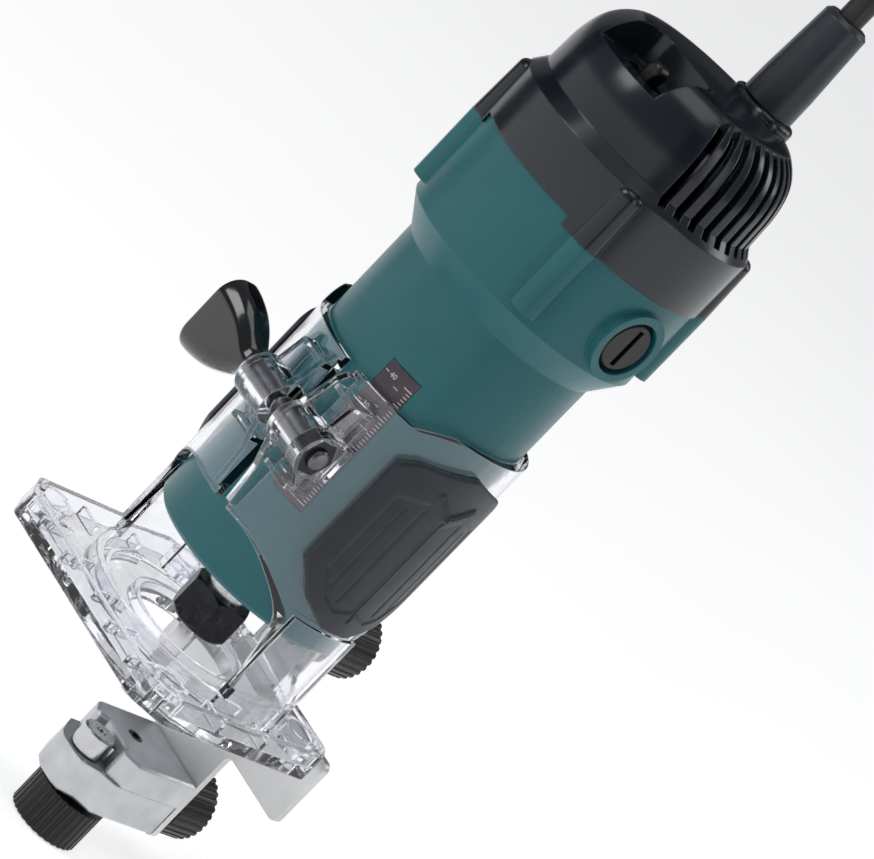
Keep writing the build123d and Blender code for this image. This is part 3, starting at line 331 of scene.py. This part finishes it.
SHEET = surface(
    "sheet_steel", (0.62, 0.62, 0.62), (0.74, 0.74, 0.74), 0.40, 0.06, 0.02, 0.0004, 0.3, 0.00002,
    0.0004, (0.92, 0.92, 0.92), metal=0.55, stretch=(0.08, 1, 1),
).mat
BRASS = surface(
    "brass", (0.42, 0.27, 0.09), (0.60, 0.41, 0.16), 0.30, 0.08, 0.004, 0.0004, 0.4, 0.00002, 0.0003,
    (0.78, 0.60, 0.30), metal=1.0,
).mat
CARBON = surface(
    "carbon_block", (0.010, 0.010, 0.010), (0.022, 0.022, 0.022), 0.62, 0.08, 0.003, 0.0003, 0.6, 0.00004, 0.0003,
    (0.06, 0.06, 0.06), metal=0.2,
).mat
COPPER = surface(
    "copper_windings", (0.35, 0.11, 0.04), (0.56, 0.20, 0.08), 0.32, 0.08, 0.003, 0.0007, 0.9, 0.0001, 0.0003,
    (0.75, 0.36, 0.18), metal=0.9, stretch=(1, 1, 0.12),
).mat
STACK = surface(
    "laminations", (0.10, 0.10, 0.105), (0.20, 0.20, 0.21), 0.42, 0.08, 0.004, 0.0005, 0.8, 0.00006, 0.0003,
    (0.34, 0.34, 0.35), metal=0.9, stretch=(0.04, 0.04, 1),
).mat
PLATE = surface(
    "scale_plate", (0.052, 0.040, 0.052), (0.085, 0.066, 0.080), 0.40, 0.06, 0.006, 0.0003, 0.3, 0.00002, 0.0003,
    (0.20, 0.18, 0.20), metal=0.35, stretch=(1, 1, 0.1),
).mat
PRINT = surface(
    "printed_marks", (0.55, 0.54, 0.55), (0.74, 0.73, 0.74), 0.5, 0.05, 0.002, 0.0002, 0.2, 0.00001, 0.0001,
    (0.85, 0.85, 0.85),
).mat
CORD = surface(
    "cord_rubber", (0.008, 0.008, 0.009), (0.015, 0.015, 0.017), 0.40, 0.06, 0.02, 0.0005, 0.5, 0.00004, 0.0004,
    (0.05, 0.05, 0.055), specular=0.5,
).mat


def woven(name):
    """Hook-and-loop tape: crossed threads under a fuzzy, slightly dusty pile."""
    t = Tree(name)
    s = t.shader
    parts = []
    for along, across in (((1, 1, 0), 900.0), ((0, 0, 1), 1100.0)):
        wave = t.add("TexWave", wave_type="BANDS")
        wave.bands_direction = "Z" if along[2] else "DIAGONAL"
        t.join(t.coords, wave.inputs["Vector"])
        wave.inputs["Scale"].default_value = across
        wave.inputs["Distortion"].default_value = 1.6
        wave.inputs["Detail"].default_value = 2.0
        parts.append(wave.outputs["Fac"])
    weave = t.math("MULTIPLY", parts[0], parts[1])
    fuzz = t.noise(0.0003, 5.0, 0.7)
    both = t.math("ADD", weave, t.math("MULTIPLY", fuzz, 0.6))
    t.join(t.mix(t.spread(both, 0.0, 1.0, 0.2, 1.0), (0.006, 0.006, 0.007), (0.030, 0.030, 0.033)), s.inputs["Base Color"])
    t.join(t.spread(fuzz, 0.75, 0.95), s.inputs["Roughness"])
    t.join(t.bump(both, 0.8, 0.00012), s.inputs["Normal"])
    s.inputs["Sheen Weight"].default_value = 0.4
    s.inputs["Sheen Roughness"].default_value = 0.5
    return t.mat


def polycarbonate(name):
    """Clear moulded plastic: faint flow marks, a cool cast in the thick places, and lamps reach through it."""
    t = Tree(name)
    s = t.shader
    flow = t.noise(0.012, 3.0, 0.5, (1, 1, 0.5), 0.6)
    fine = t.noise(0.0011, 3.0, 0.6)
    normal, edges = t.soften(0.00055)
    t.join(t.mix(t.spread(flow, 0.0, 1.0), (0.90, 0.905, 0.955), (0.975, 0.975, 0.995)), s.inputs["Base Color"])
    t.join(t.math("ADD", t.spread(fine, 0.0, 0.008), t.math("MULTIPLY", edges, 0.01)), s.inputs["Roughness"])
    t.join(t.bump(t.math("MULTIPLY", flow, 2.5), 0.22, 0.00018, normal), s.inputs["Normal"])
    # painted highlight: along the edges the transmission drops, so the near-white base colour shows there as a bright
    # diffuse rim
    t.join(t.spread(edges, 1.0, 0.62), s.inputs["Transmission Weight"])
    s.inputs["IOR"].default_value = 1.50
    s.inputs["Specular IOR Level"].default_value = 0.5
    through = t.add("BsdfTransparent")
    through.inputs[0].default_value = (0.90, 0.92, 0.93, 1)
    swap = t.add("MixShader")
    t.join(t.add("LightPath").outputs["Is Shadow Ray"], swap.inputs[0])
    t.join(s.outputs[0], swap.inputs[1])
    t.join(through.outputs[0], swap.inputs[2])
    t.join(swap.outputs[0], t.out.inputs[0])
    return t.mat


CLEAR = polycarbonate("polycarbonate")
TAPE = woven("tie_fabric")

LOOKS = {
    "motor_housing": TEAL, "top_cap": CAP, "scale_plate": PLATE, "housing_screws": STEEL, "brush_caps": KNOB,
    "brush_holders": BRASS, "carbon_brushes": CARBON, "brush_springs": STEEL, "field_stator": STACK,
    "field_coils": COPPER, "end_bracket": KNOB, "upper_bearing": STEEL, "lower_bearing": STEEL,
    "switch_body": KNOB, "switch_toggle": KNOB, "cord_guard": GUARD, "cord_clamp": KNOB, "armature_shaft": STEEL,
    "armature_core": STACK, "armature_windings": COPPER, "commutator": COPPER, "cooling_fan": KNOB,
    "collet_cone": STEEL, "collet_nut": NUT, "router_bit": STEEL, "clear_base": CLEAR, "grip_pad_right": GRIP,
    "grip_pad_left": GRIP, "clamp_nut": NUT, "guide_nut": STEEL, "wing_knob": GLOSS, "clamp_bolt": BOLT,
    "clamp_washer": STEEL, "guide_holder": SHEET, "guide_block": CAST, "set_screw": NUT, "roller_slide": CAST,
    "roller_pin": STEEL, "guide_roller": STEEL, "knob_a": KNOB, "stud_a": STEEL, "knob_b": KNOB,
    "adjusting_screw": STEEL, "knob_c": KNOB, "stud_c": STEEL, "cord_tie": TAPE, "plug_body": CORD,
    "plug_blades": STEEL,
}
for name, node in NODES.items():
    node.data.materials.clear()
    node.data.materials.append(LOOKS.get(name, KNOB))
curve.materials.append(CORD)


# ------------------------------------------------------------------ helpers for pieces
def piece(name, verts, faces, body, material, smooth=True):
    mesh = bpy.data.meshes.new(name)
    mesh.from_pydata([tuple(v) for v in verts], [], faces)
    mesh.update()
    obj = bpy.data.objects.new(name, mesh)
    SCENE.collection.objects.link(obj)
    bm = bmesh.new()
    bm.from_mesh(mesh)
    bmesh.ops.recalc_face_normals(bm, faces=bm.faces)
    bm.to_mesh(mesh)
    bm.free()
    for p in mesh.polygons:
        p.use_smooth = smooth
    mesh.materials.append(material)
    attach(obj, body)
    return obj


def body_of(node):
    return NODES[node]["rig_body"]


# ------------------------------------------------------------------ grips with their moulded pattern
OUTLINE = [
    (-21.2, 51.2), (-21.2, 86.5), (-17.5, 89.6), (0, 94.2), (17.5, 89.6), (21.2, 86.5), (21.2, 51.2), (14.5, 43.2),
    (5, 38.2), (-5, 38.2), (-14.5, 43.2),
]
R_BACK, R_FRONT = 33.83, 35.22


def rounded(poly, r, n=5):
    """The polygon with its corners rounded, as a list of points."""
    made = []
    for i, p in enumerate(poly):
        a, b = Vector(poly[i - 1]), Vector(poly[(i + 1) % len(poly)])
        p = Vector(p)
        u, v = (a - p).normalized(), (b - p).normalized()
        half = math.acos(max(-1.0, min(1.0, u.dot(v)))) / 2
        cut = min(r / math.tan(half), (a - p).length * 0.4, (b - p).length * 0.4)
        s, e = p + u * cut, p + v * cut
        for k in range(n + 1):
            t = k / n
            made.append(s * (1 - t) ** 2 + p * 2 * t * (1 - t) + e * t * t)
    return made


def distance(y, z, poly):
    """How far points are from a closed line."""
    best = np.full(y.shape, 1e9)
    for i in range(len(poly)):
        ax, ay = poly[i - 1]
        bx, by = poly[i]
        dx, dy = bx - ax, by - ay
        n = dx * dx + dy * dy
        if n < 1e-12:
            continue
        t = np.clip(((y - ax) * dx + (z - ay) * dy) / n, 0, 1)
        best = np.minimum(best, np.hypot(y - ax - t * dx, z - ay - t * dy))
    return best


def inside(y, z, poly):
    odd = np.zeros(y.shape, bool)
    for i in range(len(poly)):
        ax, ay = poly[i - 1]
        bx, by = poly[i]
        if abs(by - ay) < 1e-12:
            continue
        hit = ((ay > z) != (by > z)) & (y < (bx - ax) * (z - ay) / (by - ay) + ax)
        odd ^= hit
    return odd


def ease(x, low, high):
    t = np.clip((x - low) / (high - low), 0, 1)
    return t * t * (3 - 2 * t)


def groove(y, z, line, half, depth):
    return -depth * (1 - ease(distance(y, z, line), half * 0.35, half))


PANEL = [(-16.6, 53.0), (-16.6, 79.5), (-7.5, 82.8), (-0.4, 78.0), (-0.4, 46.0), (-6.5, 43.8), (-11.5, 46.2)]


def grip(side):
    outline = rounded(OUTLINE, 1.6)
    flat = [(p.x, p.y) for p in outline]
    rows, cols = 132, 96
    zs = [38.2 + (94.2 - 38.2) * (0.5 - 0.5 * math.cos(math.pi * min(max((k + 0.02) / (rows - 0.96), 0), 1))) for k in range(rows)]
    ys, zz = np.zeros((rows, cols)), np.zeros((rows, cols))
    for i, z in enumerate(zs):
        hits = []
        for k in range(len(flat)):
            (ay, az), (by, bz) = flat[k - 1], flat[k]
            if (az > z) != (bz > z):
                hits.append(ay + (by - ay) * (z - az) / (bz - az))
        lo, hi = (min(hits), max(hits)) if len(hits) > 1 else ((-4.5, 4.5) if z < 60 else (-0.2, 0.2))
        for j in range(cols):
            u = j / (cols - 1)
            u = 0.5 - 0.5 * math.cos(math.pi * (0.3 * u + 0.7 * (0.5 - 0.5 * math.cos(math.pi * u)))) if False else u
            ys[i, j], zz[i, j] = lo + (hi - lo) * u, z
    away = distance(ys, zz, flat)
    # rounded rim
    r = 0.75
    h = -np.where(away < r, r - np.sqrt(np.maximum(r * r - (r - np.minimum(away, r)) ** 2, 0)), 0.0)
    # the front half of the pad carries a sunk panel with two long grooves, a ridge behind it and a chevron on top
    for mirror in (1, -1):
        panel = [(y * mirror, z) for y, z in PANEL]
        d = distance(ys, zz, panel)
        inner = inside(ys, zz, panel)
        h = h + np.where(inner, -0.34 * ease(d, 0.0, 0.55), 0.0)
        for gy, g0, g1 in ((-12.3, 49.5, 78.0), (-7.6, 47.2, 80.2)):
            h = h + groove(ys, zz, [(gy * mirror, g0), (gy * mirror, g1)], 0.42, 0.32)
        chevron = [(-6.9 * mirror, 85.6), (-0.4 * mirror, 81.0)]
        dc = distance(ys, zz, chevron)
        h = h + 0.62 * (1 - ease(dc, 0.75, 1.15)) - 0.34 * (1 - ease(np.abs(dc), 0.12, 0.35))
    h = h + groove(ys, zz, [(0.0, 43.5), (0.0, 79.5)], 0.65, 0.5)
    r_out = R_FRONT + h
    verts, faces = [], []
    for layer in (r_out, np.full_like(r_out, R_BACK)):
        for i in range(rows):
            for j in range(cols):
                rad = max(layer[i, j], R_BACK + (0.02 if layer is r_out else 0))
                y = ys[i, j] * (rad / R_FRONT if layer is not r_out else 1.0)
                y = ys[i, j]
                verts.append((side * math.sqrt(rad * rad - y * y) * MM, y * MM, zz[i, j] * MM))
    n = rows * cols
    for i in range(rows - 1):
        for j in range(cols - 1):
            a = i * cols + j
            faces.append((a, a + 1, a + cols + 1, a + cols))
            faces.append((n + a, n + a + cols, n + a + cols + 1, n + a + 1))
    for i in range(rows - 1):
        for j in (0, cols - 1):
            a = i * cols + j
            faces.append((a, a + cols, n + a + cols, n + a))
    for j in range(cols - 1):
        for i in (0, rows - 1):
            a = i * cols + j
            faces.append((a, a + 1, n + a + 1, n + a))
    return verts, faces


for side, node in ((1, "grip_pad_right"), (-1, "grip_pad_left")):
    v, f = grip(side)
    made = piece(node + "_moulded", v, f, body_of(node), GRIP)
    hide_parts(node)


# ------------------------------------------------------------------ the depth scale's printed marks
R_PLATE = 30.95
A0, A1 = math.radians(-71.0), math.radians(-52.5)


def on_plate(a, z, lift=0.012):
    r = (R_PLATE + lift) * MM
    return (r * math.cos(a), r * math.sin(a), z * MM)


verts, faces = [], []


def mark(a_from, a_to, z, width):
    """A thin raised bar across the plate, curved with it."""
    cuts = max(2, int(abs(a_to - a_from) * R_PLATE / 0.4) + 1)
    base = len(verts)
    for k in range(cuts + 1):
        a = a_from + (a_to - a_from) * k / cuts
        for dz, lift in ((-width / 2, 0.002), (-width / 2, 0.03), (width / 2, 0.03), (width / 2, 0.002)):
            verts.append(on_plate(a, z + dz, lift))
    for k in range(cuts):
        for q in range(4):
            a, b = base + 4 * k + q, base + 4 * k + (q + 1) % 4
            faces.append((a, b, b + 4, a + 4))
    faces.append((base, base + 3, base + 2, base + 1))
    e = base + 4 * cuts
    faces.append((e, e + 1, e + 2, e + 3))


for k in range(0, 41):
    long = 2.6 if k % 10 == 0 else (1.9 if k % 5 == 0 else 1.2)
    mark(A1 - 0.3 / R_PLATE, A1 - (0.3 + long) / R_PLATE, 60.5 + k, 0.20 if k % 5 else 0.26)
for k in range(0, 5):
    mark(A0 + 0.3 / R_PLATE, A0 + 1.5 / R_PLATE, 60.5 + 10 * k, 0.22)
for k in range(0, 7):
    mark(A0 + 4.9 / R_PLATE, A0 + (5.9 if k % 2 else 6.5) / R_PLATE, 60.5 + 6.35 * k, 0.20)
piece("scale_ticks", verts, faces, body_of("scale_plate"), PRINT, smooth=False)


def digits(name, text, a_mid, z_mid, height):
    data = bpy.data.curves.new(name + "_text", "FONT")
    data.body = text
    data.size = height * MM / 0.7
    data.align_x, data.align_y = "CENTER", "CENTER"
    data.extrude = 0.014 * MM
    data.resolution_u = 3
    tmp = bpy.data.objects.new(name + "_text", data)
    SCENE.collection.objects.link(tmp)
    bpy.context.view_layer.update()
    mesh = bpy.data.meshes.new_from_object(tmp.evaluated_get(bpy.context.evaluated_depsgraph_get()))
    bpy.data.objects.remove(tmp)
    co = []
    for v in mesh.vertices:
        a = a_mid + v.co.x / (R_PLATE * MM)
        r = R_PLATE * MM + 0.016 * MM + v.co.z
        co.append((r * math.cos(a), r * math.sin(a), z_mid * MM + v.co.y))
    out = [tuple(p.vertices) for p in mesh.polygons]
    bpy.data.meshes.remove(mesh)
    return co, out


verts, faces = [], []
for k in range(0, 5):
    co, out = digits("scale_%d" % (10 * k), str(10 * k), A0 + 3.1 / R_PLATE, 60.5 + 10 * k, 1.45)
    base = len(verts)
    verts += co
    faces += [tuple(i + base for i in f) for f in out]
piece("scale_numbers", verts, faces, body_of("scale_plate"), PRINT, smooth=False)

# ------------------------------------------------------------------ floor, world and lights
low = CAD_BOX[0][2]


def floor_material():
    t = Tree("pale_floor")
    s = t.shader
    t.join(t.mix(t.spread(t.noise(0.35, 2.0), 0.0, 1.0), (0.86, 0.86, 0.86), (0.90, 0.90, 0.90)), s.inputs["Base Color"])
    s.inputs["Roughness"].default_value = 0.8
    s.inputs["Specular IOR Level"].default_value = 0.2
    s.inputs["Emission Color"].default_value = (1, 1, 1, 1)
    s.inputs["Emission Strength"].default_value = 0.62
    return t.mat


mesh = bpy.data.meshes.new("floor")
mesh.from_pydata([(-6, -6, low - 0.0005), (6, -6, low - 0.0005), (6, 6, low - 0.0005), (-6, 6, low - 0.0005)], [], [(0, 1, 2, 3)])
floor = bpy.data.objects.new("floor", mesh)
SCENE.collection.objects.link(floor)
mesh.materials.append(floor_material())

world = bpy.data.worlds.new("studio")
world.use_nodes = True
SCENE.world = world
wt = world.node_tree
wt.nodes.clear()
w_out = wt.nodes.new("ShaderNodeOutputWorld")
seen = wt.nodes.new("ShaderNodeBackground")
seen.inputs[0].default_value = (1, 1, 1, 1)
seen.inputs[1].default_value = 1.0
lit = wt.nodes.new("ShaderNodeBackground")
lit.inputs[0].default_value = (0.93, 0.96, 1.0, 1)
lit.inputs[1].default_value = 0.20
path = wt.nodes.new("ShaderNodeLightPath")
blend = wt.nodes.new("ShaderNodeMixShader")
wt.links.new(path.outputs["Is Camera Ray"], blend.inputs[0])
wt.links.new(lit.outputs[0], blend.inputs[1])
wt.links.new(seen.outputs[0], blend.inputs[2])
wt.links.new(blend.outputs[0], w_out.inputs[0])

CENTRE = Vector((0.0, 0.0, 0.11))


def softbox(name, az, el, far, size, watts, colour=(1, 1, 1)):
    data = bpy.data.lights.new(name, "AREA")
    data.shape = "RECTANGLE"
    data.size, data.size_y = size
    data.energy = watts
    data.color = colour
    obj = bpy.data.objects.new(name, data)
    a, e = math.radians(az), math.radians(el)
    back = Vector((math.sin(a) * math.cos(e), -math.cos(a) * math.cos(e), math.sin(e)))
    obj.location = CENTRE + back * far
    obj.rotation_mode = "QUATERNION"
    obj.rotation_quaternion = back.to_track_quat("Z", "Y")
    SCENE.collection.objects.link(obj)
    return obj


softbox("key", -22, 34, 1.3, (0.45, 0.9), 5.2)
softbox("fill", 92, 22, 1.5, (0.35, 1.0), 2.6, (0.95, 0.98, 1.0))
softbox("rim", 160, 30, 1.4, (0.35, 0.9), 3.0)
softbox("top", 30, 82, 1.3, (0.7, 0.7), 2.2)



def card(name, az, el, far, size):
    """A dark card off camera, for the clear plastic and the gloss to mirror."""
    a, e = math.radians(az), math.radians(el)
    back = Vector((math.sin(a) * math.cos(e), -math.cos(a) * math.cos(e), math.sin(e)))
    q = back.to_track_quat("Z", "Y")
    mid = CENTRE + back * far
    mesh = bpy.data.meshes.new(name)
    mesh.from_pydata([tuple(mid + q @ Vector((x * size[0] / 2, y * size[1] / 2, 0))) for x, y in ((-1, -1), (1, -1), (1, 1), (-1, 1))], [], [(0, 1, 2, 3)])
    obj = bpy.data.objects.new(name, mesh)
    SCENE.collection.objects.link(obj)
    mesh.materials.append(CARD)
    obj.visible_camera = False
    obj.visible_shadow = False
    obj.visible_transmission = True


t = Tree("dark_card")
t.join(t.mix(t.spread(t.noise(0.2, 2.0), 0.0, 1.0), (0.010, 0.010, 0.014), (0.020, 0.020, 0.026)), t.shader.inputs["Base Color"])
t.shader.inputs["Roughness"].default_value = 0.9
t.shader.inputs["Specular IOR Level"].default_value = 0.1
CARD = t.mat
card("card_left", -80, 12, 0.75, (0.35, 1.1))
card("card_right", 62, 10, 0.80, (0.22, 1.1))
card("card_back", 215, 35, 0.80, (0.30, 0.7))

bpy.context.view_layer.update()
